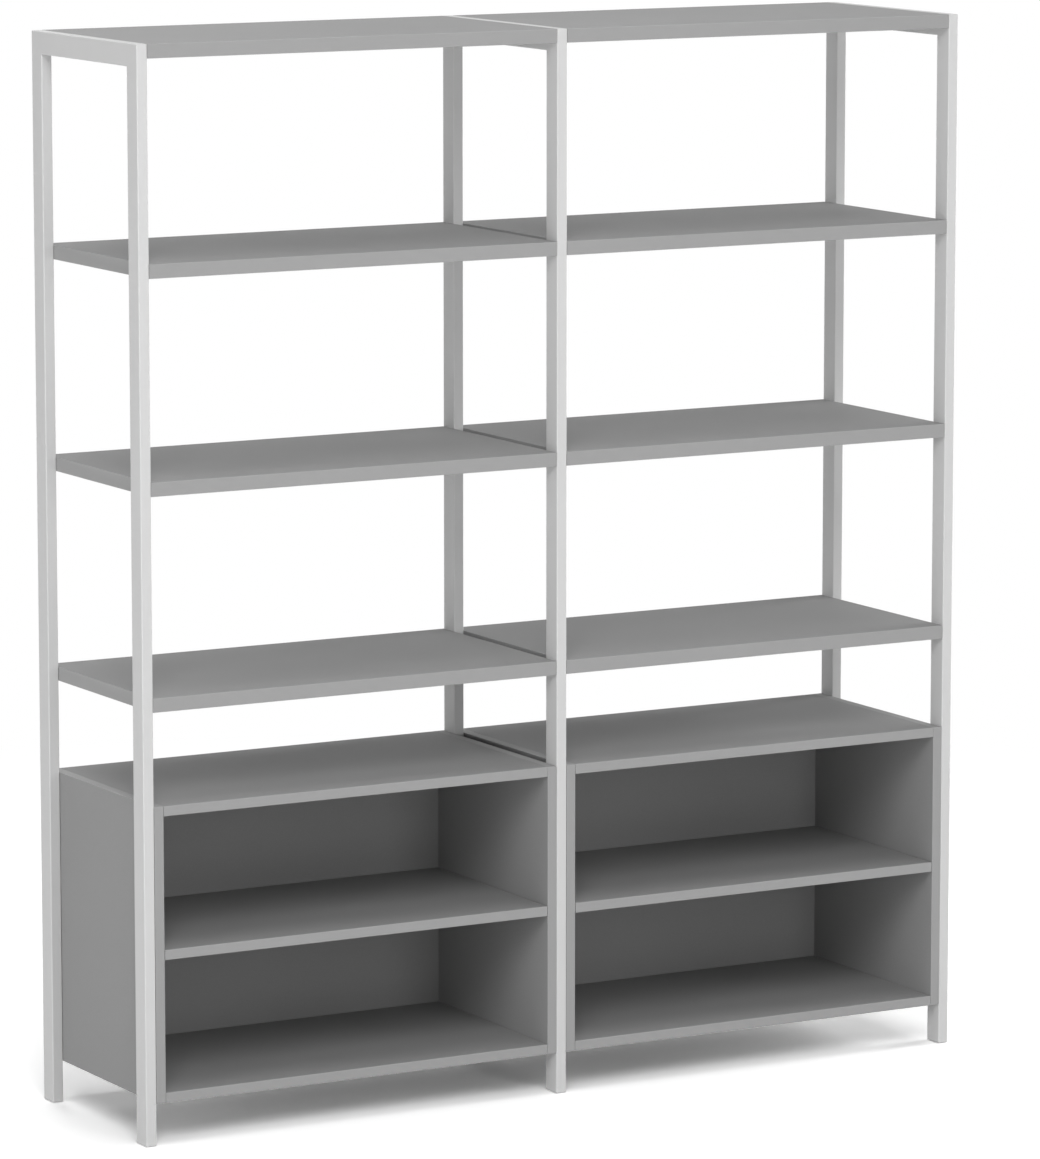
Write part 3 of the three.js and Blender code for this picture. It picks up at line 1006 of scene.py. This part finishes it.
def footRings(values, origin):
    # turned about Z: a chamfered pad, then a stud whose radius rises and falls once in each pitch of
    # height, a full turn of the angle shifting it by one pitch
    turn = 2 * np.pi * (np.arange(values["sides"]) + 0.5) / values["sides"]
    thick, pad, edge = values["padThickness"], values["pad"], values["padEdge"]
    core = values["stud"] - values["threadDepth"]
    top = thick + values["studLength"]
    count = int(values["studLength"] / values["pitch"] * values["stepsPerTurn"])
    climb = np.linspace(thick + values["neck"], top, count)
    wave = np.abs(((climb[:, None] / values["pitch"] - turn / (2 * np.pi)) % 1.0) * 2 - 1)
    ridge = np.clip(wave * values["ridgeGain"] - values["rootWidth"], 0.0, 1.0)
    start = np.clip((climb - climb[0]) / values["pitch"], 0.0, 1.0)
    tip = np.clip((top - climb) / values["tipChamfer"], 0.0, 1.0)
    rise = values["threadDepth"] * ridge * (start * tip)[:, None]
    thread = core + rise - values["tipTaper"] * (1 - tip)[:, None]
    part = edge * arcMiddle
    heights = [0.0, values["padChamfer"], thick - edge, thick - part, thick, thick]
    widths = [pad - values["padChamfer"], pad, pad, pad - part, pad - edge, core]
    height = np.concatenate([heights, climb])[:, None]
    radius = np.concatenate([np.repeat(np.array(widths)[:, None], values["sides"], axis=1), thread])
    flat = np.stack([radius * np.cos(turn), radius * np.sin(turn)], axis=-1)
    return setAlong(flat, height, 2) + origin


def plugRings(values, origin):
    # a rounded outline drawn in between the fins, carried up Z, then back down the round hole
    outline = roundedOutline(
        rectangle(-values["width"] / 2, -values["depth"] / 2, values["width"] / 2, values["depth"] / 2),
        values["cornerRadius"], values["steps"],
    )
    pitch = (values["length"] - values["finThickness"]) / (values["finCount"] - 1)
    thick, deep = values["finThickness"], values["finDepth"]
    foot = np.arange(values["finCount"]) * pitch
    place = (foot[:, None] + np.array([0.0, 0.0, thick * values["finFlat"], thick, thick])).reshape(-1)
    inset = np.tile([deep, 0.0, 0.0, values["finTaper"], deep], values["finCount"])
    inset[0] = values["finTaper"]
    flat = drawnIn(outline, inset)
    turn = np.pi + 2 * np.pi * (np.arange(flat.shape[1]) + 0.5) / flat.shape[1]
    hole = values["hole"] * np.stack([np.cos(turn), np.sin(turn)], axis=-1)
    flat = np.concatenate([flat, hole[None], hole[None]])
    place = np.concatenate([place, [values["length"], 0.0]])
    return setAlong(flat, place[:, None], 2) + origin


def slotRings(values, origin):
    # a rounded outline carried along X under the pad, half of it below the floor
    half, deep = values["slotWidth"] / 2, values["slotDepth"]
    outline = roundedOutline(rectangle(-half, -deep, half, deep), values["slotRadius"], values["slotSteps"])
    reach = values["pad"] + values["slotOverrun"]
    ends = np.stack([drawnIn(outline, 0.0)] * 2)
    return setAlong(ends, np.array([[-reach], [reach]]), 0) + origin


def makeFeet(foot, plug):
    for name in frameNames:
        for endName in endNames:
            node = f"{name}_{endName}_levelling_foot"
            low, high = nodeBox(node)
            origin = np.array([(low[0] + high[0]) / 2, (low[1] + high[1]) / 2, low[2]])
            mesh = shellMesh(node, cappedShell(footRings(foot, origin)), "platedSteel")
            mesh = cutAway(mesh, cappedShell(slotRings(foot, origin)))
            standIn(mesh, node, "_turned")
            node = f"{name}_{endName}_foot_plug"
            low, high = nodeBox(node)
            origin[2] = low[2]
            rings = plugRings(plug, origin)
            faces = ringQuads(rings.shape[0], rings.shape[1], True).reshape(-1, 4).tolist()
            mesh = shellMesh(node, (rings.reshape(-1, 3), faces), "blackNylon")
            standIn(mesh, node, "_moulded")


makeFeet(levellingFoot, footPlug)
print("feet and plugs set")
